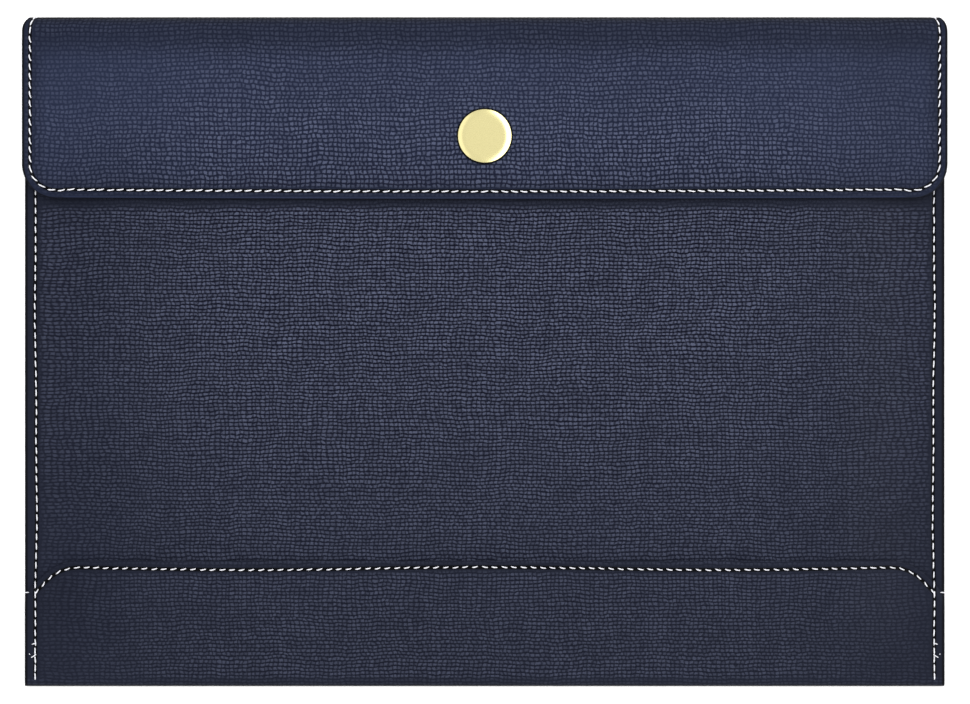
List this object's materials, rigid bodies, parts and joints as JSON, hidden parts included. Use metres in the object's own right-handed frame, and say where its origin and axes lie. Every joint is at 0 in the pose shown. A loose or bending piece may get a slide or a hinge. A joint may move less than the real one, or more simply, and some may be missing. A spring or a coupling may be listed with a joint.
{
  "type": "document envelope",
  "caption": "A4 leather document envelope with a fold-over flap, a press stud, contrast stitching and a turned-up band across the bottom.",
  "frame": {"origin": "centre of the underside, on the table that the envelope lies on", "axes": "+X to the right seen from the front, +Y towards the top fold, +Z out of the front"},
  "size_m": [0.3318, 0.24, 0.0144],
  "materials": {
    "leather": "navy, pebbled cross grain, satin",
    "snap_metal": "pale gold, polished",
    "thread": "white waxed sewing thread"
  },
  "bodies": {
    "pouch": {"back_panel": "leather", "front_panel": "leather", "top_fold": "leather", "snap_stud": "snap_metal", "snap_post": "snap_metal", "band_stitching": "thread", "left_side_stitching": "thread", "right_side_stitching": "thread"},
    "flap": {"flap": "leather", "flap_stitching": "thread", "snap_cap": "snap_metal", "snap_socket": "snap_metal"}
  },
  "joints": [
    {"name": "flap_hinge", "type": "hinge", "parent": "pouch", "child": "flap", "pos_m": [0, 0.1138, 0.0062], "axis": [-1, 0, 0], "range_deg": [0, 175], "deforming": ["top_fold"]}
  ]
}
